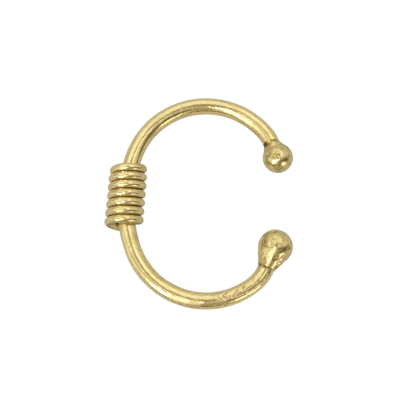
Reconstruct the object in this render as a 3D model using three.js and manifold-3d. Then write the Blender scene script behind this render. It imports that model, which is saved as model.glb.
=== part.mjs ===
// A clip-on navel ring of round brass wire, gold in colour, lying on its side.
// An open ring of thick wire carries a ball on each end, with a mouth between the balls.
// A coil of thinner wire is wound round the back of the ring.
//
// Millimetres, +Z up. The ring lies flat: its mouth opens towards +X and the coil is at -X.
// The origin is under the middle of its box, on the surface that it rests on.

import * as THREE from 'three';
import { mergeVertices } from 'three/addons/utils/BufferGeometryUtils.js';
import Module from 'manifold-3d';

const wasm = await Module();
wasm.setup();

// ---------- driving dimensions ----------

const seamGap = 0.05; // left between any two pieces that meet

const wire = {
  radius: 0.8, // 14 gauge, 1.6 mm across
  sides: 16,
  stepLength: 0.6, // along the wire, from one section to the next
  startX: 6.45, // the end that carries the upper ball
  startY: 5.818,
  startHeading: 112.2, // degrees from +X, leaving that end
};

// The wire's middle line from its upper end round the back to its lower end.
// Each row is an arc that turns to the left.
const bends = [
  { part: 'upper tip', radius: 50, turn: 0.3 },
  { part: 'upper end', radius: 2.9, turn: 15.7 },
  { part: 'upper bow', radius: 7.4, turn: 122.8 },
  { part: 'flatter back', radius: 14, turn: 38 },
  { part: 'lower bow', radius: 7.3, turn: 109.3 },
  { part: 'lower end', radius: 3.8, turn: 29.2 },
];

// A turned-down peg on each end of the wire holds the ball that is fixed over it.
const peg = { radius: 0.36, length: 1.1, clearance: seamGap, sides: 12 };

const ball = { sides: 16, bandAngle: 11.25 }; // facets round a ball, and from pole to pole

const upperBall = {
  radius: 1.49,
  neckLength: 1.57, // from the ball's middle to the wire's end
  neckRadius: 0.66,
  neckShift: 0.14, // the neck is flush with the wire on the outside and leaves a nick inside
};

const lowerBall = {
  radius: 1.67,
  neckLength: 2.22, // pear-shaped, its cone narrows to the wire's thickness
  neckRadius: 0.84,
};

// The coil's middle lies a little behind the middle of the wire, and it leans with the wire.
const coil = {
  turns: 7,
  pitch: 0.83,
  wireRadius: 0.4, // 20 gauge
  lowerRadius: 1.44, // of the helix: the turns are wound wider towards the lower end
  upperRadius: 1.39,
  middleX: -7.56,
  middleY: 0.58,
  lean: 4, // degrees from +Y towards +X
  stepsPerTurn: 20,
  sides: 12,
};

const gold = {
  wire: { color: 0xc9ab5c, roughness: 0.28, metalness: 1 },
  ball: { color: 0xbf9f4f, roughness: 0.24, metalness: 1 },
  coil: { color: 0xd0ad62, roughness: 0.26, metalness: 1 },
};

// ---------- worked out from them ----------

const degrees = Math.PI / 180;

// How far the flat facet under a ball, or under a turn of the coil, lies from the middle.
const ballFacetFactor = Math.cos((ball.bandAngle / 2) * degrees) * Math.cos(Math.PI / ball.sides);
const upperBallHeight = upperBall.radius * ballFacetFactor;
const lowerBallHeight = lowerBall.radius * ballFacetFactor;
const coilStep = 360 / coil.stepsPerTurn;

function coilRadiusAt(share) {
  return coil.lowerRadius + (coil.upperRadius - coil.lowerRadius) * share;
}

function coilHeightAt(share) {
  const outerFlat = coilRadiusAt(share) + coil.wireRadius * Math.cos(Math.PI / coil.sides);
  return outerFlat * Math.cos((coilStep / 2) * degrees);
}

function heading(angle) {
  return new THREE.Vector3(Math.cos(angle * degrees), Math.sin(angle * degrees), 0);
}

// The wire's middle line seen from above: the points where the arcs meet, with their headings.
function layOutBends() {
  const stretches = [];
  let point = new THREE.Vector3(wire.startX, wire.startY, 0);
  let angle = wire.startHeading;
  for (const { radius, turn } of bends) {
    const centre = point.clone().addScaledVector(heading(angle + 90), radius);
    stretches.push({ centre, radius, from: angle - 90, length: radius * turn * degrees });
    angle += turn;
    point = centre.clone().addScaledVector(heading(angle - 90), radius);
  }
  return { stretches, end: point, endHeading: angle };
}

const layout = layOutBends();
const upperEnd = new THREE.Vector3(wire.startX, wire.startY, 0);
const lowerEnd = layout.end;
const intoUpperBall = heading(wire.startHeading + 180);
const intoLowerBall = heading(layout.endHeading);
const upperCentre = upperEnd.clone().addScaledVector(intoUpperBall, upperBall.neckLength);
const lowerCentre = lowerEnd.clone().addScaledVector(intoLowerBall, lowerBall.neckLength);

// The ring lies on the coil and the two balls, so the wire's plane is the one through
// the three middles, a degree or two off level.
const restingPlane = new THREE.Plane().setFromCoplanarPoints(
  new THREE.Vector3(coil.middleX, coil.middleY, coilHeightAt(0.5)),
  new THREE.Vector3(lowerCentre.x, lowerCentre.y, lowerBallHeight),
  new THREE.Vector3(upperCentre.x, upperCentre.y, upperBallHeight),
);

function onRestingPlane(point) {
  const { normal, constant } = restingPlane;
  const height = -(normal.x * point.x + normal.y * point.y + constant) / normal.z;
  return new THREE.Vector3(point.x, point.y, height);
}

// ---------- curves ----------

class WireLine extends THREE.Curve {
  getPoint(t, target = new THREE.Vector3()) {
    const total = layout.stretches.reduce((sum, stretch) => sum + stretch.length, 0);
    let left = t * total;
    let index = 0;
    while (index < layout.stretches.length - 1 && left > layout.stretches[index].length) {
      left -= layout.stretches[index].length;
      index += 1;
    }
    const { centre, radius, from } = layout.stretches[index];
    const angle = from + left / radius / degrees;
    return target.copy(onRestingPlane(centre.clone().addScaledVector(heading(angle), radius)));
  }
}

// The helix starts and ends underneath, half a step past the lowest place, so that the
// facet under each turn is level. Each section stands in the plane of the coil's axis.
class CoilLine extends THREE.Curve {
  constructor() {
    super();
    this.along = heading(90 - coil.lean);
    this.across = heading(-coil.lean);
    this.up = new THREE.Vector3(0, 0, 1);
  }

  radial(t) {
    const angle = (90 + coilStep / 2 + t * (coil.turns * 360 - coilStep)) * degrees;
    return this.across.clone().multiplyScalar(Math.cos(angle)).addScaledVector(this.up, -Math.sin(angle));
  }

  getPoint(t, target = new THREE.Vector3()) {
    const length = coil.pitch * coil.turns;
    target.set(coil.middleX, coil.middleY, coilHeightAt(t));
    target.addScaledVector(this.along, (t - 0.5) * length);
    return target.addScaledVector(this.radial(t), coilRadiusAt(t));
  }

  getUtoTmapping(u) {
    return u;
  }

  computeFrenetFrames(segments) {
    const frames = { tangents: [], normals: [], binormals: [] };
    for (let i = 0; i <= segments; i += 1) {
      const normal = this.radial(i / segments);
      const binormal = this.along.clone().negate();
      frames.normals.push(normal);
      frames.binormals.push(binormal);
      frames.tangents.push(new THREE.Vector3().crossVectors(normal, binormal));
    }
    return frames;
  }
}

// ---------- solids ----------

// A regular outline with a flat, not a corner, towards +X.
function roundSection(radius, sides) {
  const corners = [];
  for (let i = 0; i < sides; i += 1) {
    const angle = ((i + 0.5) / sides) * 2 * Math.PI;
    corners.push(new THREE.Vector2(radius * Math.cos(angle), radius * Math.sin(angle)));
  }
  return new THREE.Shape(corners);
}

function sweep(line, radius, sides, steps) {
  const options = { steps, extrudePath: line, bevelEnabled: false };
  return new THREE.ExtrudeGeometry(roundSection(radius, sides), options);
}

function toManifold(geometry) {
  const bare = geometry.clone();
  bare.deleteAttribute('normal');
  bare.deleteAttribute('uv');
  const merged = mergeVertices(bare, 1e-5);
  const mesh = new wasm.Mesh({
    numProp: 3,
    vertProperties: new Float32Array(merged.attributes.position.array),
    triVerts: new Uint32Array(merged.index.array),
  });
  mesh.merge();
  return new wasm.Manifold(mesh);
}

function fromManifold(solid) {
  const mesh = solid.getMesh();
  const geometry = new THREE.BufferGeometry();
  geometry.setAttribute('position', new THREE.BufferAttribute(mesh.vertProperties, 3));
  geometry.setIndex(new THREE.BufferAttribute(mesh.triVerts, 1));
  return geometry;
}

// A round bar that leaves a point in a level direction.
function bar(from, direction, start, length, radius, sides) {
  const geometry = new THREE.CylinderGeometry(radius, radius, length, sides, 1);
  geometry.translate(0, start + length / 2, 0);
  const turn = new THREE.Quaternion().setFromUnitVectors(new THREE.Vector3(0, 1, 0), direction);
  geometry.applyQuaternion(turn);
  geometry.translate(from.x, from.y, from.z);
  return toManifold(geometry);
}

function makeRingWire() {
  const line = new WireLine();
  const steps = Math.round(line.getLength() / wire.stepLength);
  const sunk = 0.3; // how far a peg's root reaches back into the wire
  const upperPeg = bar(onRestingPlane(upperEnd), intoUpperBall, -sunk, peg.length + sunk, peg.radius, peg.sides);
  const lowerPeg = bar(onRestingPlane(lowerEnd), intoLowerBall, -sunk, peg.length + sunk, peg.radius, peg.sides);
  const body = toManifold(sweep(line, wire.radius, wire.sides, steps));
  return fromManifold(body.add(upperPeg).add(lowerPeg));
}

// The outline of half a ball from the pole away from the wire, at -Y, to the given angle.
function ballOutline(radius, lastAngle) {
  const points = [];
  const firstAngle = ball.bandAngle / 2;
  points.push(new THREE.Vector2(0, -radius * Math.cos(firstAngle * degrees)));
  for (let angle = firstAngle; angle <= lastAngle; angle += ball.bandAngle) {
    points.push(new THREE.Vector2(
      radius * Math.sin(angle * degrees),
      -radius * Math.cos(angle * degrees),
    ));
  }
  return points;
}

function turned(points) {
  return toManifold(new THREE.LatheGeometry(points, ball.sides, Math.PI / ball.sides));
}

// The hole for the peg, blind, from the mouth of the neck.
function pegHole(mouth) {
  const depth = peg.length + peg.clearance;
  const radius = peg.radius + peg.clearance;
  const over = 1; // past the mouth, so that the cut opens it
  return bar(new THREE.Vector3(0, mouth, 0), new THREE.Vector3(0, -1, 0), -over, depth + over, radius, peg.sides);
}

// A plain ball with a short neck that is set off its middle.
function makeUpperBall() {
  const { radius, neckLength, neckRadius, neckShift } = upperBall;
  const outline = ballOutline(radius, 180);
  outline.push(new THREE.Vector2(0, radius * Math.cos((ball.bandAngle / 2) * degrees)));
  const mouth = neckLength - seamGap;
  const root = new THREE.Vector3(neckShift, 0, 0);
  const neck = bar(root, new THREE.Vector3(0, 1, 0), 0, mouth, neckRadius, ball.sides);
  return fromManifold(turned(outline).add(neck).subtract(pegHole(mouth)));
}

// A pear: the cone leaves the ball where it is tangent to it and ends flush with the wire.
function makeLowerBall() {
  const { radius, neckLength, neckRadius } = lowerBall;
  const mouth = neckLength - seamGap;
  const flankAngle = Math.asin((radius - neckRadius) / neckLength) / degrees;
  const outline = ballOutline(radius, 90 + flankAngle);
  outline.push(new THREE.Vector2(neckRadius, mouth));
  outline.push(new THREE.Vector2(0, mouth));
  return fromManifold(turned(outline).subtract(pegHole(mouth)));
}

function makeCoil() {
  const steps = coil.turns * coil.stepsPerTurn - 1;
  return sweep(new CoilLine(), coil.wireRadius, coil.sides, steps);
}

// ---------- the ring, piece by piece ----------

function piece(name, geometry, finish) {
  const mesh = new THREE.Mesh(geometry, new THREE.MeshStandardMaterial(finish));
  mesh.name = name;
  return mesh;
}

const ringWire = piece('ring_wire', makeRingWire(), gold.wire);
const wireCoil = piece('wire_coil', makeCoil(), gold.coil);

// Each ball's own +Y points at the wire's end.
const upper = piece('upper_ball', makeUpperBall(), gold.ball);
upper.position.set(upperCentre.x, upperCentre.y, upperBallHeight);
upper.rotation.z = (wire.startHeading - 90) * degrees;

const lower = piece('lower_ball', makeLowerBall(), gold.ball);
lower.position.set(lowerCentre.x, lowerCentre.y, lowerBallHeight);
lower.rotation.z = (layout.endHeading + 90) * degrees;

const ring = new THREE.Group();
ring.add(ringWire, wireCoil, upper, lower);

// The box's middle goes over the origin. The facets underneath are at z = 0 already.
ring.updateMatrixWorld(true);
const middle = new THREE.Box3().setFromObject(ring, true).getCenter(new THREE.Vector3());
ring.position.set(-middle.x, -middle.y, 0);

export default ring;
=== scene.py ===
import math

import bmesh
import bpy
from mathutils import Matrix, Vector
from mathutils.kdtree import KDTree


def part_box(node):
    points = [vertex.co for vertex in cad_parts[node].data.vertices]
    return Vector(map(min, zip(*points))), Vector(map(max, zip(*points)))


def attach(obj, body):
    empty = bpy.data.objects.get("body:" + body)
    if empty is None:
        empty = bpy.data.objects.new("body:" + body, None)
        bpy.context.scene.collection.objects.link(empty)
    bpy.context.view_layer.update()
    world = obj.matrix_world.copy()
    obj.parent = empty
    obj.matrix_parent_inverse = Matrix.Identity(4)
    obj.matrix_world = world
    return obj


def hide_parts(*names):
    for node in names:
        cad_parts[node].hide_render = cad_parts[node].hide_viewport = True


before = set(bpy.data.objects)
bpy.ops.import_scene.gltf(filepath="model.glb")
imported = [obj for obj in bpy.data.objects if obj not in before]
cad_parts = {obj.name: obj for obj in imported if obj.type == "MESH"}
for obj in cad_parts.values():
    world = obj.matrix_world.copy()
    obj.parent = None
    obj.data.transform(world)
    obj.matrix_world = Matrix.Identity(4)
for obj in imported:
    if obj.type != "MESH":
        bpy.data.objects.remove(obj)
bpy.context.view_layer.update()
bpy.ops.object.select_all(action="DESELECT")
print("frame loaded:", ", ".join(sorted(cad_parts)))

mm = 0.001  # everything below is in millimetres and degrees unless it says otherwise
seamGap = 0.02  # between two pieces that meet: each ball is pushed home
rimSegments = 3  # in the rounding of each rubbed edge
jointFade = 0.3  # from a joint's open, brown side round to where it is tight
smoothAngle = 40  # an edge sharper than this stays sharp

# ---- small helpers ----


def heading(angle):
    return Vector((math.cos(math.radians(angle)), math.sin(math.radians(angle)), 0))


def limited(value):
    return min(max(value, 0), 1)


def deselect():
    bpy.ops.object.select_all(action="DESELECT")


def selectOnly(piece):
    deselect()
    piece.select_set(True)
    bpy.context.view_layer.objects.active = piece


def editMode():
    bpy.ops.object.mode_set(mode="EDIT")


def objectMode():
    bpy.ops.object.mode_set(mode="OBJECT")


def settle(piece):
    # puts the piece's place into its mesh, so that its object sits at the origin
    selectOnly(piece)
    bpy.ops.object.transform_apply(location=True, rotation=True, scale=True)


def pick(kind, test):
    # selects the vertices, edges or faces of the mesh in edit mode that pass the test
    bpy.ops.mesh.select_mode(type={"verts": "VERT", "edges": "EDGE", "faces": "FACE"}[kind])
    bpy.ops.mesh.select_all(action="DESELECT")
    mesh = bmesh.from_edit_mesh(bpy.context.object.data)
    for item in getattr(mesh, kind):
        if test(item):
            item.select_set(True)
    mesh.select_flush_mode()
    bmesh.update_edit_mesh(bpy.context.object.data)


def isEnd(face):
    # the flat end of a wire or a neck: no other face has so many corners
    return len(face.verts) > 8


def applyModifier(piece, kind, settings):
    modifier = piece.modifiers.new(kind.title(), kind)
    for name, value in settings.items():
        setattr(modifier, name, value)
    bpy.context.view_layer.objects.active = piece
    bpy.ops.object.modifier_apply(modifier=modifier.name)


def press(place, push, reach):
    # pushes the metal of the mesh in edit mode in round one place, as a tool's jaw does
    mesh = bmesh.from_edit_mesh(bpy.context.object.data)
    nearest = min(mesh.verts, key=lambda v: (v.co - place).length_squared)
    pick("verts", lambda v: v == nearest)
    bpy.ops.transform.translate(value=push, use_proportional_edit=True,
                                proportional_edit_falloff="SMOOTH", proportional_size=reach)


def makeUneven(piece, lumps, fixed):
    # hand work is never quite true: slow lumps and finer ones, but none where pieces meet
    skin = piece.vertex_groups.new(name="skin")
    skin.add([v.index for v in piece.data.vertices if not fixed(v.co)], 1, "REPLACE")
    for size, height in lumps:
        texture = bpy.data.textures.new("lumps", "CLOUDS")
        texture.noise_scale = size
        texture.noise_depth = 1
        applyModifier(piece, "DISPLACE", {"texture": texture, "texture_coords": "LOCAL",
                                          "strength": height, "vertex_group": "skin"})


def note(piece, name, amount):
    # writes an amount from 0 to 1 on each point, for the finish to read
    noted = piece.data.attributes.new(name, "FLOAT", "POINT")
    for vertex, entry in zip(piece.data.vertices, noted.data):
        entry.value = limited(amount(vertex.co))


def noteStraight(piece, unbend):
    # writes where each point would lie if the wire were straight, for patterns that follow it
    straight = piece.data.attributes.new("straight", "FLOAT_VECTOR", "POINT")
    for vertex, entry in zip(piece.data.vertices, straight.data):
        entry.vector = unbend(vertex.co)


def scarTree(scars):
    # finds the scar nearest to a point
    tree = KDTree(len(scars))
    for index, place in enumerate(scars):
        tree.insert(place, index)
    tree.balance()
    return tree


def linearColour(code):
    # an sRGB colour such as "c9ab5c" as linear red, green, blue and alpha
    values = [int(code[i:i + 2], 16) / 255 for i in (0, 2, 4)]
    return [v / 12.92 if v <= 0.04045 else ((v + 0.055) / 1.055) ** 2.4 for v in values] + [1]


def addNode(tree, kind, settings=None, links=None):
    node = tree.nodes.new(kind)
    for name, value in (settings or {}).items():
        if isinstance(name, int) or name in node.inputs:
            node.inputs[name].default_value = value
        else:
            setattr(node, name, value)
    for name, source in (links or {}).items():
        tree.links.new(source, node.inputs[name])
    return node


# ---- camera ----

camera = {
    "elevation": 79,  # degrees above the floor, looking along +Y
    "distance": 77,
    "lens": 72.3,
    "aim": (0.0, 0.12, 1.65),
}


def makeCamera():
    up = math.radians(camera["elevation"])
    aim = Vector(camera["aim"]) * mm
    back = Vector((0, -math.cos(up), math.sin(up)))
    data = bpy.data.cameras.new("camera")
    data.lens = camera["lens"]
    data.clip_start = 1 * mm
    view = bpy.data.objects.new("camera", data)
    view.location = aim + back * camera["distance"] * mm
    view.rotation_euler = (math.radians(90 - camera["elevation"]), 0, 0)
    bpy.context.collection.objects.link(view)
    bpy.context.scene.camera = view


makeCamera()
print("camera set")

# ---- where the ring rests ----

# The wire's middle line from its upper end round the back to its lower end, as arcs
# that turn to the left. Places here are the CAD's own, before it is centred.
ringWire = {
    "radius": 0.8,  # 14 gauge, 1.6 mm across
    "sides": 64,
    "step": 0.1,  # along the wire, from one ring of vertices to the next
    "start": Vector((6.45, 5.818, 0)),
    "startHeading": 112.2,
    "bends": [  # radius, turn
        (50, 0.3),  # upper tip
        (2.9, 15.7),  # upper end
        (7.4, 122.8),  # upper bow
        (14, 38),  # flatter back
        (7.3, 109.3),  # lower bow
        (3.8, 24.7),  # lower end
        (3.8, 4.5),  # lower tip
    ],
    "spare": 0.6,  # straight, past each end, cut off again
    "cutReach": 3,  # only so near to an end does its cut go through the wire
    "upperCut": (-14, 10),  # how far the top, and the outside, of each cut lean to the ball
    "lowerCut": (2, -4),
    "pegRadius": 0.36,
    "pegLength": 1.1,
    "lumps": [(2.2, 0.04), (0.6, 0.016), (0.25, 0.01)],  # size and height of the unevenness, in mm
    "bruised": (35.8, 41.9),  # the stretch that a tool has bitten, along the wire
    "strokes": [  # from and to, each as along the wire and degrees from the top outwards; depth; brown
        (36.35, -18, 36.75, 3, 0.05, 0.5),
        (36.9, -18, 37.3, 6, 0.055, 0.7),
        (37.15, -26, 37.3, -38, 0.06, 0.5),
        (37.75, 8, 38.1, -11, 0.06, 0.5),
        (38.1, -11, 38.4, -34, 0.06, 0.5),
        (38.9, -4, 39.1, -34, 0.09, 0.6),
        (40.05, -11, 40.2, -34, 0.025, 0.2),
        (36.6, 44, 37.0, 49, 0.04, 0.6),
        (36.1, 40, 36.2, 54, 0.04, 0.6),
        (38.0, 12, 38.6, 12, 0.03, 0.4),  # the long scar
        (38.6, 12, 39.1, 16, 0.05, 0.7),
        (39.1, 16, 39.6, 19, 0.12, 0.9),
        (39.6, 19, 40.2, 18, 0.14, 0.9),
        (40.2, 18, 40.8, 25, 0.13, 0.9),
        (40.8, 25, 41.5, 31, 0.09, 0.8),
        (36.2, 9, 37.0, 12, 0.02, 0.4),
    ],
    "strokeReach": 0.19,
    "strokeStep": 0.06,
    "scarSink": 0.8,  # its brown lies at this share of a stroke's depth
    "stain": 0.14,  # how far the brown of a scar reaches
    "rubbed": [  # satin from handling: from and to along the wire, its outer or inner side, how much
        (0.2, 4.5, -1, 1),
        (4.5, 6.8, -1, 0.15),
        (28.7, 31.7, 1, 0.15),
        (31.7, 34.9, 1, 1),
    ],
    "rubbedFade": 0.4,  # along the wire
    "rubbedPast": 0.09,  # how far past the wire's middle line it is still rubbed
    "rubbedAcross": 0.3,  # and over what width it comes up to full
    "endBand": 0.1,  # kept true, next to each end
    "upperBrown": 0.1,  # how far the brown reaches from each end
    "lowerBrown": 0.2,
}

upperBall = {
    "radius": 1.46,
    "neckLength": 1.57,  # from the ball's middle to the wire's end
    "neckRadius": 0.79,  # at the wire
    "rootRadius": 1.0,  # where the neck grows out of the ball
    "aside": 0,  # how far the ball sits to the outside of the wire's line
    "neckRings": 6,
    "rim": 0.015,  # rounding of the two edges at the joint
    "openTo": -0.3,  # towards the outside: the joint is open and brown only as far round as this
    "brownBand": 0.35,  # how far the brown reaches from the joint
    "brownAndShade": 1,  # how brown the joint is; past 0.9 its gap is painted near-black as shade
    "stain": 0.16,  # how far the brown of a pit reaches
    "segments": 128,
    "rings": 96,
    "lumps": [(1.3, 0.05), (0.5, 0.024), (0.22, 0.004)],
    "pits": [  # towards the neck, towards the outside of the ring, depth, reach
        (-0.37, 0.86, 0.04, 0.2),
        (-0.55, 0.84, 0.04, 0.2),
        (-0.22, -0.18, 0.035, 0.22),
        (-0.88, -0.8, 0.03, 0.16),
        (-1.12, -0.48, 0.04, 0.16),
        (-1.18, -0.2, 0.03, 0.16),
        (0.2, -0.35, 0.03, 0.2),
    ],
}

# its settings mean what the upper ball's do
lowerBall = {
    "radius": 1.64,
    "neckLength": 2.22,
    "neckRadius": 0.84,
    "rootRadius": 1.53,
    "aside": 0.08,
    "neckRings": 16,
    "rim": 0.05,
    "openTo": 0.5,
    "brownBand": 0.1,
    "brownAndShade": 0.88,
    "stain": 0.16,
    "segments": 128,
    "rings": 96,
    "lumps": [(1.6, 0.06), (0.55, 0.03), (0.22, 0.005)],
    "pits": [
        (1.25, 0.25, 0.05, 0.22),
        (1.14, 0.5, 0.06, 0.22),
        (1.04, 0.77, 0.05, 0.22),
        (1.44, 0.83, 0.07, 0.25),
        (1.55, -0.6, 0.04, 0.25),
        (-0.18, 1.19, 0.04, 0.22),
        (0.33, 0.5, 0.03, 0.25),
        (0.07, -1.27, 0.03, 0.25),
        (1.24, -0.92, 0.03, 0.2),
    ],
}

jointBrown = 1.3  # at the joint; above 1, so that the band is full before it fades
pitBrown = 0.7  # at the middle of a pit

coil = {
    "turns": 7,
    "pitch": 0.83,
    "wireRadius": 0.4,  # 20 gauge
    "lowerRadius": 1.44,  # the turns are wound wider towards the lower end
    "upperRadius": 1.39,
    "handWound": [  # after each turn, from the lower end: moved up the coil, wound wider
        (0.0, 0.0),
        (0.005, 0.02),
        (0.005, 0.02),
        (0.025, 0.01),
        (0.0, 0.02),
        (0.01, 0.04),
        (-0.015, 0.0),
        (0.0, -0.05),
    ],
    "middleX": -7.56,
    "middleY": 0.58,
    "lean": 4,  # degrees from +Y towards +X
    "stepsPerTurn": 96,
    "sides": 40,
    "startAngle": 9,  # past the bottom, where each end is cut
    "rim": 0.05,
    "brownFrom": 0.78,  # how far round to its side a turn stays bright
    "brown": 0.7,  # how brown it is where two turns touch
    "lumps": [(1.1, 0.02), (0.35, 0.022)],
}


def layOutBends():
    point, angle, along = ringWire["start"].copy(), ringWire["startHeading"], 0
    arcs = []
    for radius, turn in ringWire["bends"]:
        centre = point + heading(angle + 90) * radius
        length = radius * math.radians(turn)
        arcs.append({"centre": centre, "radius": radius, "from": angle - 90, "turn": turn,
                     "along": along, "length": length})
        angle += turn
        along += length
        point = centre + heading(angle - 90) * radius
    return arcs, point, angle, along


arcs, lowerEnd, endHeading, wireLength = layOutBends()
upperEnd = ringWire["start"]
towardsUpperBall = heading(ringWire["startHeading"] + 180)
towardsLowerBall = heading(endHeading)
upright = Vector((0, 0, 1))
outsideUpper = -towardsUpperBall.cross(upright)
outsideLower = towardsLowerBall.cross(upright)
upperMiddle = (upperEnd + towardsUpperBall * upperBall["neckLength"]
               + outsideUpper * upperBall["aside"])
lowerMiddle = (lowerEnd + towardsLowerBall * lowerBall["neckLength"]
               + outsideLower * lowerBall["aside"])
coilMiddle = Vector((coil["middleX"], coil["middleY"], 0))

# Both balls and the coil touch the floor, and the wire's plane goes through their middles.
coilHeight = (coil["lowerRadius"] + coil["upperRadius"]) / 2 + coil["wireRadius"]
upperMiddle.z = upperBall["radius"]
lowerMiddle.z = lowerBall["radius"]
coilMiddle.z = coilHeight
planeNormal = (lowerMiddle - coilMiddle).cross(upperMiddle - coilMiddle).normalized()


def wirePlane(point):
    # the same place on the wire's own, slightly sloping plane
    slope = planeNormal.xy.dot(point.xy - coilMiddle.xy) / planeNormal.z
    return Vector((point.x, point.y, coilMiddle.z - slope + point.z))


def straighten(point):
    # where a point of the flat wire would lie if the wire were straight: along, out, up
    best = None
    for arc in arcs:
        away = point - arc["centre"]
        angle = (math.degrees(math.atan2(away.y, away.x)) - arc["from"]) % 360
        past = 0
        if angle > arc["turn"]:
            past = min(angle - arc["turn"], 360 - angle)
            angle = arc["turn"] if angle - arc["turn"] < 360 - angle else 0
        if best is None or past < best[0]:
            along = arc["along"] + math.radians(angle) * arc["radius"]
            best = (past, Vector((along, away.xy.length - arc["radius"], point.z)))
    return best[1]


def cutNormal(towardsBall, outside, cut):
    # square to a cut that leans a little, across the wire's end
    lean, slant = (math.tan(math.radians(angle)) for angle in cut)
    return (towardsBall - outside * slant - upright * lean).normalized()


def onWire(along, around):
    # a place on the flat wire's skin, and the way out of the metal there
    arc = next(a for a in reversed(arcs) if along >= a["along"])
    across = heading(arc["from"] + math.degrees((along - arc["along"]) / arc["radius"]))
    out = across * math.sin(math.radians(around)) + upright * math.cos(math.radians(around))
    return arc["centre"] + across * arc["radius"] + out * ringWire["radius"], out


# ---- ring wire ----


def makeRingWire():
    wire = ringWire
    first = upperEnd + towardsUpperBall * wire["spare"]
    deselect()
    bpy.ops.mesh.primitive_circle_add(
        vertices=wire["sides"], radius=wire["radius"], location=first,
        rotation=(math.radians(90), 0, math.radians(wire["startHeading"] - 90)))
    piece = bpy.context.object
    piece.name = "ringWire"
    settle(piece)
    editMode()
    bpy.ops.mesh.select_all(action="SELECT")
    bpy.ops.mesh.extrude_region_move(
        TRANSFORM_OT_translate={"value": -towardsUpperBall * wire["spare"]})
    for arc in arcs:
        tip = arc in (arcs[0], arcs[-1])  # one long step each, so that the cuts meet no other edge
        steps = 1 if tip else round(arc["length"] / wire["step"])
        bpy.ops.mesh.spin(steps=steps, angle=-math.radians(arc["turn"]),
                          center=arc["centre"], axis=(0, 0, 1))
    bpy.ops.mesh.extrude_region_move(
        TRANSFORM_OT_translate={"value": towardsLowerBall * wire["spare"]})

    # each end is cut off a little out of square, and its edge rubbed smooth
    for end, outward, outside, cut, rim in (
            (upperEnd, towardsUpperBall, outsideUpper, wire["upperCut"], upperBall["rim"]),
            (lowerEnd, towardsLowerBall, outsideLower, wire["lowerCut"], lowerBall["rim"])):
        normal = cutNormal(outward, outside, cut)
        pick("verts", lambda v: (v.co - end).length < wire["cutReach"])
        bpy.ops.mesh.bisect(plane_co=end, plane_no=normal, clear_outer=True, use_fill=True)
        pick("faces", lambda f: isEnd(f) and (f.calc_center_median() - end).length < wire["radius"])
        bpy.ops.mesh.region_to_loop()
        bpy.ops.mesh.bevel(offset=rim, segments=rimSegments, clamp_overlap=True)
        pick("faces", lambda f: isEnd(f) and (f.calc_center_median() - end).length < wire["radius"])
        bpy.ops.mesh.inset(thickness=wire["radius"] - rim - wire["pegRadius"])
        bpy.ops.mesh.extrude_region_move(TRANSFORM_OT_translate={"value": outward * wire["pegLength"]})
    low, high = wire["bruised"]
    pick("faces", lambda f: len(f.verts) == 4 and low < straighten(f.calc_center_median()).x < high)
    bpy.ops.mesh.subdivide(number_cuts=1)
    bpy.ops.mesh.select_all(action="SELECT")
    bpy.ops.mesh.normals_make_consistent()
    objectMode()
    band = wire["endBand"]
    makeUneven(piece, wire["lumps"], lambda co: not band < straighten(co).x < wireLength - band)
    return piece


def bruiseWire():
    # where pliers slipped near its lower end: short slanting bites, and one long scar
    bpy.context.view_layer.objects.active = ringWirePiece
    editMode()
    scars = []
    for start, fromTop, stop, toTop, depth, brown in ringWire["strokes"]:
        length = math.hypot(stop - start, math.radians(toTop - fromTop) * ringWire["radius"])
        steps = math.ceil(length / ringWire["strokeStep"])
        push = depth * length / steps / ringWire["strokeReach"]  # each press overlaps the next
        for step in range(steps + 1):
            share = step / steps
            place, out = onWire(start + (stop - start) * share, fromTop + (toTop - fromTop) * share)
            press(place, -out * push, ringWire["strokeReach"])
            scars.append((place - out * depth * ringWire["scarSink"], brown))
    objectMode()
    return scars


def finishWire(scars):
    # notes where the wire is brown or painted shade, or rubbed, and how it lay before it was bent,
    # and sets it on its plane
    wire = ringWire
    tree = scarTree([place for place, brown in scars])

    def darkness(co):
        along, out = straighten(co).xy
        upperOpen = limited((upperBall["openTo"] - out) / jointFade)
        lowerOpen = limited((lowerBall["openTo"] - out) / jointFade)
        index, away = tree.find(co)[1:]
        # at the open side of the upper joint the amount passes 0.9, into painted shade
        return max((upperBall["brownAndShade"] - along / wire["upperBrown"]) * upperOpen,
                   (lowerBall["brownAndShade"] - (wireLength - along) / wire["lowerBrown"]) * lowerOpen,
                   scars[index][1] * (1 - away / wire["stain"]))

    def rubbing(co):
        along, out = straighten(co).xy
        return max(min(much, (along - start) / wire["rubbedFade"], (stop - along) / wire["rubbedFade"],
                       (wire["rubbedPast"] + side * out) / wire["rubbedAcross"])
                   for start, stop, side, much in wire["rubbed"])

    note(ringWirePiece, "tarnish", darkness)
    note(ringWirePiece, "rubbed", rubbing)
    noteStraight(ringWirePiece, straighten)
    for vertex in ringWirePiece.data.vertices:
        vertex.co = wirePlane(vertex.co)


ringWirePiece = makeRingWire()
finishWire(bruiseWire())
print("ring wire:", len(ringWirePiece.data.polygons), "faces")

# ---- coil ----


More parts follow.
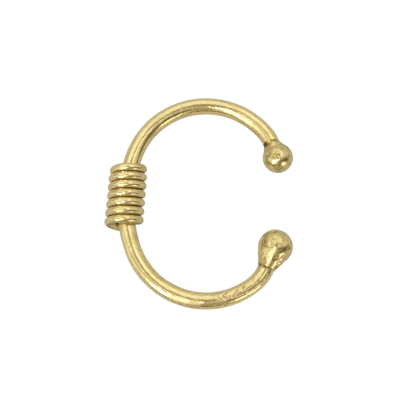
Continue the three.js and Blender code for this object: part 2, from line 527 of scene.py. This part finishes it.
def makeCoil():
    start = math.radians(coil["startAngle"])
    radius = (coil["lowerRadius"] + coil["upperRadius"]) / 2
    sweep = math.radians(coil["turns"] * 360 - 2 * coil["startAngle"])
    total = coil["pitch"] * coil["turns"]
    rise = total / sweep  # along the coil, for each radian round it
    deselect()
    bpy.ops.mesh.primitive_circle_add(vertices=coil["sides"], radius=coil["wireRadius"],
                                      location=(radius, 0, 0), rotation=(math.radians(90), 0, 0))
    piece = bpy.context.object
    piece.name = "wireCoil"
    settle(piece)
    steps = round(coil["turns"] * coil["stepsPerTurn"])
    applyModifier(piece, "SCREW", {
        "axis": "Z", "angle": sweep, "screw_offset": total,
        "steps": steps, "render_steps": steps, "use_merge_vertices": False})
    editMode()
    bpy.ops.mesh.select_all(action="SELECT")
    bpy.ops.mesh.fill_holes(sides=0)
    pick("faces", isEnd)
    bpy.ops.mesh.region_to_loop()
    bpy.ops.mesh.bevel(offset=coil["rim"], segments=rimSegments)
    bpy.ops.mesh.select_all(action="SELECT")
    bpy.ops.mesh.normals_make_consistent()
    objectMode()

    def unwind(co):
        # along the thinner wire, out from the coil's middle, and up the coil
        angle = math.atan2(co.y, co.x) % (2 * math.pi)
        turn = round((co.z / rise - angle) / (2 * math.pi))
        around = angle + turn * 2 * math.pi
        return around, Vector((around * radius, co.xy.length - radius, co.z - around * rise))

    def darkness(co):
        towardsNextTurn = abs(unwind(co)[1].z) / coil["wireRadius"]
        return coil["brown"] * (towardsNextTurn - coil["brownFrom"]) / (1 - coil["brownFrom"])

    noteStraight(piece, lambda co: unwind(co)[1])
    note(piece, "tarnish", darkness)
    makeUneven(piece, coil["lumps"], lambda co: False)

    # wound by hand: no turn is quite like the next, and each lies on the floor
    lift = {}
    for vertex in piece.data.vertices:
        around = unwind(vertex.co)[0]
        share = limited(around / sweep)
        turn = min(int(share * coil["turns"]), coil["turns"] - 1)
        part = share * coil["turns"] - turn
        (moved, wider), (nextMoved, nextWider) = coil["handWound"][turn:turn + 2]
        widen = coil["lowerRadius"] + (coil["upperRadius"] - coil["lowerRadius"]) * share - radius
        widen += wider + (nextWider - wider) * part
        scale = (vertex.co.xy.length + widen) / vertex.co.xy.length
        up = vertex.co.z - total / 2 + moved + (nextMoved - moved) * part
        vertex.co = (vertex.co.x * scale, vertex.co.y * scale, up)
        lift[vertex.index] = widen

    along = heading(90 - coil["lean"])
    across = heading(-coil["lean"])
    first = -across * math.sin(start) - upright * math.cos(start)
    turned = Matrix((first, along.cross(first), along)).transposed()
    piece.matrix_world = Matrix.Translation(coilMiddle) @ turned.to_4x4()
    settle(piece)
    for vertex in piece.data.vertices:
        vertex.co.z += lift[vertex.index]
    return piece


coilPiece = makeCoil()
print("coil:", len(coilPiece.data.polygons), "faces")

# ---- balls ----


def makeBall(name, ball, middle, outward, outside, cut):
    # modelled with its neck upright along Z and the outside of the ring towards X, then turned
    turned = Matrix((outside, outward.cross(outside), outward)).transposed()
    radius, neck, rim = ball["radius"], ball["neckRadius"], ball["rim"]
    mouth = ball["neckLength"] - seamGap
    hole = ringWire["pegRadius"] + seamGap
    axis = Vector((-ball["aside"], 0, 0))  # the wire's own line
    deselect()
    bpy.ops.mesh.primitive_uv_sphere_add(
        segments=ball["segments"], ring_count=ball["rings"], radius=radius)
    piece = bpy.context.object
    piece.name = name
    editMode()
    rootHeight = math.sqrt(radius ** 2 - ball["rootRadius"] ** 2)
    pick("verts", lambda v: v.co.z > rootHeight + 0.001)
    bpy.ops.mesh.delete(type="VERT")
    pick("edges", lambda e: e.is_boundary)
    root = max((v.co for v in bmesh.from_edit_mesh(piece.data).verts), key=lambda co: co.z).copy()
    taper = (root.xy.length - neck) / (mouth - root.z)
    past = 0.5  # the neck is made too long, then cut
    bpy.ops.mesh.extrude_region_move(
        TRANSFORM_OT_translate={"value": axis + Vector((0, 0, mouth + past - root.z))})
    size = (neck - past * taper) / root.xy.length
    bpy.ops.transform.resize(value=(size, size, 1), center_override=axis)
    # the cut, its rubbed edge, the hole for the peg, and then rings along the neck
    normal = turned.transposed() @ -cutNormal(-outward, outside, cut)
    bpy.ops.mesh.select_all(action="SELECT")
    bpy.ops.mesh.bisect(plane_co=axis + Vector((0, 0, mouth)), plane_no=normal,
                        clear_outer=True, use_fill=True)
    pick("faces", isEnd)
    bpy.ops.mesh.region_to_loop()
    bpy.ops.mesh.bevel(offset=rim, segments=rimSegments, clamp_overlap=True)
    pick("faces", isEnd)
    bpy.ops.mesh.inset(thickness=neck - rim - hole)
    bpy.ops.mesh.extrude_region_move(
        TRANSFORM_OT_translate={"value": (0, 0, -ringWire["pegLength"] - seamGap)})
    # of the long edges, only those of the neck: both ends lie well outside the hole
    pick("edges", lambda e: min((v.co - axis).xy.length for v in e.verts) > hole + 0.1
         and abs(e.verts[0].co.z - e.verts[1].co.z) > 4 * radius / ball["rings"])
    bpy.ops.mesh.subdivide(number_cuts=ball["neckRings"])
    bpy.ops.mesh.select_all(action="SELECT")
    bpy.ops.mesh.normals_make_consistent()
    objectMode()

    def atJoint(co):
        return co.z > mouth - ringWire["endBand"] or (co.z > 0 and (co - axis).xy.length < hole + seamGap)

    makeUneven(piece, ball["lumps"], atJoint)
    editMode()
    scars = []
    for towardsNeck, towardsOutside, depth, reach in ball["pits"]:
        height = math.sqrt(max(radius ** 2 - towardsNeck ** 2 - towardsOutside ** 2, 0.3 * radius ** 2))
        place = turned.transposed() @ (outward * towardsNeck + outside * towardsOutside + upright * height)
        press(place, -place.normalized() * depth, reach)
        scars.append(place)
    objectMode()
    tree = scarTree(scars)

    def darkness(co):
        # the joint is brown as far round to the outside of the ring as it is open; where the amount passes
        # 0.9, the gap is painted shade
        gaping = limited((ball["openTo"] - co.x) / jointFade)
        return max(ball["brownAndShade"] * gaping * min(jointBrown - (mouth - co.z) / ball["brownBand"], 1),
                   pitBrown - tree.find(co)[2] / ball["stain"])

    note(piece, "tarnish", darkness)

    piece.matrix_world = Matrix.Translation(middle) @ turned.to_4x4()
    settle(piece)
    return piece


upperPiece = makeBall("upperBall", upperBall, upperMiddle,
                      -towardsUpperBall, outsideUpper, ringWire["upperCut"])
lowerPiece = makeBall("lowerBall", lowerBall, lowerMiddle,
                      -towardsLowerBall, outsideLower, ringWire["lowerCut"])
print("balls made")

# ---- from millimetres to metres, over the CAD ----

pieces = {
    "ring_wire": ringWirePiece,
    "wire_coil": coilPiece,
    "upper_ball": upperPiece,
    "lower_ball": lowerPiece,
}


def placeOverFrame():
    # the CAD centres its own box over the origin, and its wire lies under this one
    low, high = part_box("ring_wire")
    xs = [v.co.x for v in ringWirePiece.data.vertices]
    ys = [v.co.y for v in ringWirePiece.data.vertices]
    move = Vector(((low.x + high.x) / 2 - (min(xs) + max(xs)) / 2 * mm,
                   (low.y + high.y) / 2 - (min(ys) + max(ys)) / 2 * mm, 0))
    for piece in pieces.values():
        piece.matrix_world = Matrix.Translation(move) @ Matrix.Scale(mm, 4)
        settle(piece)


placeOverFrame()
print("placed over the frame")

# ---- gold ----

# Brass with a thin gold plate, cast and drawn by hand and worn. A strong mirror with a warm
# yellow cast, softened by handling. Colours are what the metal reflects, except the painted shade in a
# gaping joint.
gold = {
    "stains": [  # size in mm, stretch along the wire, from, to, colour, roughness
        (1.9, 1.5, 0.56, 0.76, "f5d89c", 0.15),  # rosy, where the plate is thin
        (1.1, 2.0, 0.52, 0.70, "ded08a", 0.22),  # olive, where it has dulled
        (0.5, 1.5, 0.60, 0.72, "fbeab8", 0.30),  # pale and satin, where it is rubbed
        (0.16, 1.0, 0.62, 0.72, "8f7a45", 0.34),  # brown specks in small pits
    ],
    # and on the balls alone, as a cast skin dulls
    "blotches": [(0.5, 1.0, 0.50, 0.60, "c2ad66", 0.27)],
    "relief": [  # size in mm, stretch along the wire, height in mm
        (0.3, 1.5, 0.016),
        (0.1, 4.0, 0.006),  # drawing marks, coarser than real ones so that they show
    ],
    "ballRelief": 0.4,  # how much of that the smoother balls have
    "tarnish": "775322",  # brown oxide in the seams and between the turns
    "tarnishRoughness": 0.45,
    "brownAndShade": "24180b",  # painted shade: near-black, where a joint gapes
    "rubbedRoughness": 0.6,  # satin, where it is handled most
    "rubbedColour": "d6c38a",
    "rubbedGrain": (0.22, 1.5),  # size in mm and stretch of the patches in it
    "tarnishGrain": (0.2, 1),  # and of those in the oxide
}


def goldFinish(name, plate, roughness, stains, along, seed):
    material = bpy.data.materials.new(name)
    material.use_nodes = True
    tree = material.node_tree
    tree.nodes.clear()
    # every pattern is laid out in millimetres: along the wire, or through the ball
    if along:
        place = addNode(tree, "ShaderNodeAttribute", {"attribute_name": "straight"}).outputs["Vector"]
    else:
        spot = addNode(tree, "ShaderNodeTexCoord").outputs["Object"]
        place = addNode(tree, "ShaderNodeMapping", {"Scale": (1 / mm, 1 / mm, 1 / mm)},
                        {"Vector": spot}).outputs[0]

    def cloud(size, stretch, shift):
        # a noise pattern; each shift gives one that is unlike the others
        laid = addNode(tree, "ShaderNodeMapping", {
            "Location": (seed + shift, seed, -shift),
            "Scale": (1 / size / (stretch if along else 1), 1 / size, 1 / size)}, {"Vector": place})
        return addNode(tree, "ShaderNodeTexNoise", {"Scale": 1, "Detail": 3, "Roughness": 0.6},
                       {"Vector": laid.outputs[0]}).outputs[0]

    colour = addNode(tree, "ShaderNodeRGB")
    colour.outputs[0].default_value = linearColour(plate)
    colour = colour.outputs[0]
    dullness = addNode(tree, "ShaderNodeValue")
    dullness.outputs[0].default_value = roughness
    dullness = dullness.outputs[0]
    for row, (size, stretch, low, high, stain, satin) in enumerate(stains):
        cover = addNode(tree, "ShaderNodeMapRange", {
            "interpolation_type": "SMOOTHSTEP", "From Min": low, "From Max": high},
            {"Value": cloud(size, stretch, 7.3 * row)}).outputs[0]
        colour = addNode(tree, "ShaderNodeMix", {"data_type": "RGBA", 7: linearColour(stain)},
                         {0: cover, 6: colour}).outputs[2]
        dullness = addNode(tree, "ShaderNodeMix", {3: satin}, {0: cover, 2: dullness}).outputs[0]

    # satin and paler, patchy, where the piece says that it is rubbed
    handled = addNode(tree, "ShaderNodeAttribute", {"attribute_name": "rubbed"}).outputs["Fac"]
    grain = addNode(tree, "ShaderNodeMapRange", {
        "From Min": 0.38, "From Max": 0.6, "To Min": 0.25, "To Max": 1},
        {"Value": cloud(*gold["rubbedGrain"], 23)}).outputs[0]
    rubbed = addNode(tree, "ShaderNodeMath", {"operation": "MULTIPLY"},
                     {0: handled, 1: grain}).outputs[0]
    colour = addNode(tree, "ShaderNodeMix", {"data_type": "RGBA", 7: linearColour(gold["rubbedColour"])},
                     {0: rubbed, 6: colour}).outputs[2]
    dullness = addNode(tree, "ShaderNodeMix", {3: gold["rubbedRoughness"]},
                       {0: rubbed, 2: dullness}).outputs[0]

    # brown oxide, patchy, where the piece says that it lies sheltered
    sheltered = addNode(tree, "ShaderNodeAttribute", {"attribute_name": "tarnish"}).outputs["Fac"]
    patchy = addNode(tree, "ShaderNodeMapRange", {
        "From Min": 0.3, "From Max": 0.5, "To Min": 0.3, "To Max": 1.4},
        {"Value": cloud(*gold["tarnishGrain"], 31)}).outputs[0]
    brown = addNode(tree, "ShaderNodeMath", {"operation": "MULTIPLY", "use_clamp": True},
                    {0: sheltered, 1: patchy}).outputs[0]
    colour = addNode(tree, "ShaderNodeMix", {"data_type": "RGBA", 7: linearColour(gold["tarnish"])},
                     {0: brown, 6: colour}).outputs[2]
    dullness = addNode(tree, "ShaderNodeMix", {3: gold["tarnishRoughness"]},
                       {0: brown, 2: dullness}).outputs[0]
    # painted shade: near-black in a joint's deep gap, where the amount passes 0.9
    paintedShade = addNode(tree, "ShaderNodeMapRange", {"From Min": 0.9, "From Max": 1},
                     {"Value": sheltered}).outputs[0]
    colour = addNode(tree, "ShaderNodeMix", {"data_type": "RGBA", 7: linearColour(gold["brownAndShade"])},
                     {0: paintedShade, 6: colour}).outputs[2]

    # the oxide is no metal
    metallic = addNode(tree, "ShaderNodeMath", {"operation": "SUBTRACT", 0: 1}, {1: brown}).outputs[0]

    strength = 1 if along else gold["ballRelief"]
    links = {"Base Color": colour, "Metallic": metallic, "Roughness": dullness}
    for row, (size, stretch, height) in enumerate(gold["relief"]):
        bump = addNode(tree, "ShaderNodeBump", {"Strength": strength, "Distance": height * mm},
                       {"Height": cloud(size, stretch, 51 + row)})
        if "Normal" in links:
            tree.links.new(links["Normal"], bump.inputs["Normal"])
        links["Normal"] = bump.outputs[0]
    surface = addNode(tree, "ShaderNodeBsdfPrincipled", links=links)
    addNode(tree, "ShaderNodeOutputMaterial", links={"Surface": surface.outputs["BSDF"]})
    return material


ballStains = gold["stains"] + gold["blotches"]
finishes = {
    "ring_wire": goldFinish("goldPlatedBrassWire", "f7e3a2", 0.11, gold["stains"], True, 0),
    "wire_coil": goldFinish("goldPlatedBrassCoil", "f3dfa0", 0.18, gold["stains"], True, 40),
    "upper_ball": goldFinish("goldPlatedBrassBall", "ead69a", 0.2, ballStains, False, 80),
    "lower_ball": goldFinish("goldPlatedBrassPear", "ecd799", 0.18, ballStains, False, 120),
}

for node, piece in pieces.items():
    piece.data.materials.clear()
    piece.data.materials.append(finishes[node])
    selectOnly(piece)
    bpy.ops.object.shade_smooth_by_angle(angle=math.radians(smoothAngle))
    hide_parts(node)
    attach(piece, "root")
print("gold given")

# ---- floor and light ----

studio = {
    "surround": 0.62,  # how bright the room is where no patch lies
    "shade": "e8cfa6",  # a warm cast, the stronger the darker the patch
    "spots": [  # right and up from the camera's axis, half width and height, softness, brightness
        ("back wall", 0, 85, 75, 22, 0.4, 0.7),
        ("right wall", 62, 22, 30, 30, 0.4, 0.8),
        ("ceiling", -5, 54, 56, 33, 0.35, 1.0),
        ("left softbox", -38, 24, 33, 18, 0.3, 1.16),
        ("left softbox's edge", -14, 6, 11, 8, 0.4, 1.2),
        ("right softbox", 26, 32, 13, 36, 0.3, 1.25),
        ("right softbox's edge", 13, 5, 6, 6, 0.4, 1.0),
        ("dark figure", 3, 12, 9, 23, 0.4, 0.4),
        ("left wall", -62, -14, 34, 15, 0.4, 0.95),
        ("low left card", -28, -36, 24, 19, 0.4, 1.2),
        ("low right flag", 50, -20, 52, 18, 0.3, 0.21),
        ("low middle", 6, -50, 13, 34, 0.4, 0.43),
        ("low right card", 45, -55, 17, 20, 0.4, 2.0),
    ],
    "patchDepth": 0.9,
    # along the floor in front: direction, size, softness, brightness
    "farEdge": ("dark front edge", Vector((0, -1, 0.07)), (0.95, 1.2, 0.15), 0.35, 0.03),
    "lamps": [  # turn about the camera's axis from +X, degrees off it, across, along, brightness
        ("main lamp", 225, 45, 12, 21, 15),
        ("second lamp", 242, 16, 7, 18, 9),
    ],
    "lampDistance": 0.6,  # m
    "floorSeen": 0.96,  # how brightly the floor glows to the camera, besides what lights it
    "floorReflected": 0.1,  # and in the metal
    "floorSize": 1.2,  # m
    "paper": "b6b6b6",  # as the metal sees it
    "paperSeen": "505050",  # to the camera, under the glow
}


def fromCamera(right, up):
    # a direction given as degrees to the right and up from the line to the camera
    polar = math.radians(math.hypot(right, up))
    turn = math.atan2(up, right)
    rise = math.radians(camera["elevation"])
    side, top = Vector((1, 0, 0)), Vector((0, math.sin(rise), math.cos(rise)))
    towards = Vector((0, -math.cos(rise), math.sin(rise)))
    return towards * math.cos(polar) + (side * math.cos(turn) + top * math.sin(turn)) * math.sin(polar)


def facing(towards, side):
    # turns local Z to a direction, with local X as near as can be to the given side
    side = (side - towards * side.dot(towards)).normalized()
    return Matrix((side, towards.cross(side), towards)).transposed()


def makeWorld():
    world = bpy.data.worlds.new("studio")
    bpy.context.scene.world = world
    world.use_nodes = True
    tree = world.node_tree
    tree.nodes.clear()
    sky = addNode(tree, "ShaderNodeTexCoord").outputs["Generated"]
    level = addNode(tree, "ShaderNodeValue")
    level.outputs[0].default_value = studio["surround"]
    value = level.outputs[0]
    patches = []
    for name, right, up, width, height, soft, bright in studio["spots"]:
        towards = fromCamera(right, up)
        size = (math.sin(math.radians(width)), math.sin(math.radians(height)), studio["patchDepth"])
        patches.append((name, towards, facing(towards, Vector((1, 0, 0))).to_euler(), size, soft, bright))
    name, towards, size, soft, bright = studio["farEdge"]
    patches.append((name, towards, (0, 0, 0), size, soft, bright))
    for name, towards, turn, size, soft, bright in patches:
        place = addNode(tree, "ShaderNodeMapping", {
            "vector_type": "TEXTURE", "label": name, "Location": towards, "Rotation": turn, "Scale": size},
            {"Vector": sky})
        ball = addNode(tree, "ShaderNodeTexGradient", {"gradient_type": "SPHERICAL"},
                       {"Vector": place.outputs[0]})
        edge = addNode(tree, "ShaderNodeMapRange", {
            "interpolation_type": "SMOOTHSTEP", "From Min": 0, "From Max": soft},
            {"Value": ball.outputs["Fac"]})
        mix = addNode(tree, "ShaderNodeMix", {3: bright}, {0: edge.outputs[0], 2: value})
        value = mix.outputs[0]
    seen = addNode(tree, "ShaderNodeLightPath")
    plain = addNode(tree, "ShaderNodeMix", {3: 1.0}, {0: seen.outputs["Is Camera Ray"], 2: value})
    # the darker parts of a room are the browner
    shade = addNode(tree, "ShaderNodeMix", {
        "data_type": "RGBA", 6: linearColour(studio["shade"]), 7: (1, 1, 1, 1)},
        {0: plain.outputs[0]})
    back = addNode(tree, "ShaderNodeBackground",
                   links={"Color": shade.outputs[2], "Strength": plain.outputs[0]})
    addNode(tree, "ShaderNodeOutputWorld", links={"Surface": back.outputs[0]})


def makeLamps():
    # small bright lamps low on the left: the white glints on the balls and the wire
    distance = studio["lampDistance"]
    for name, turn, off, across, along, radiance in studio["lamps"]:
        turn = math.radians(turn)
        towards = fromCamera(off * math.cos(turn), off * math.sin(turn))
        data = bpy.data.lights.new(name, "AREA")
        data.shape = "ELLIPSE"
        data.size = 2 * distance * math.tan(math.radians(across / 2))
        data.size_y = 2 * distance * math.tan(math.radians(along / 2))
        data.energy = radiance * math.pi * math.pi / 4 * data.size * data.size_y
        lamp = bpy.data.objects.new(name, data)
        # its long way points at the camera's axis
        axis = fromCamera(0, 0)
        lamp.matrix_world = (Matrix.Translation(towards * distance)
                             @ facing(towards, towards.cross(axis)).to_4x4())
        lamp.visible_camera = False
        bpy.context.collection.objects.link(lamp)


def makeFloor():
    deselect()
    bpy.ops.mesh.primitive_plane_add(size=studio["floorSize"])
    floor = bpy.context.object
    floor.name = "floor"
    material = bpy.data.materials.new("whitePaper")
    material.use_nodes = True
    tree = material.node_tree
    tree.nodes.clear()
    seen = addNode(tree, "ShaderNodeLightPath")
    glow = addNode(tree, "ShaderNodeMix", {2: studio["floorReflected"], 3: studio["floorSeen"]},
                   {0: seen.outputs["Is Camera Ray"]})
    paper = addNode(tree, "ShaderNodeMix", {
        "data_type": "RGBA", 6: linearColour(studio["paper"]), 7: linearColour(studio["paperSeen"])},
        {0: seen.outputs["Is Camera Ray"]})
    surface = addNode(tree, "ShaderNodeBsdfPrincipled", {"Roughness": 0.9, "Emission Color": (1, 1, 1, 1)},
                      {"Base Color": paper.outputs[2], "Emission Strength": glow.outputs[0]})
    addNode(tree, "ShaderNodeOutputMaterial", links={"Surface": surface.outputs["BSDF"]})
    floor.data.materials.append(material)


makeWorld()
makeLamps()
makeFloor()
bpy.context.scene.view_settings.view_transform = "Standard"
print("floor and light set")
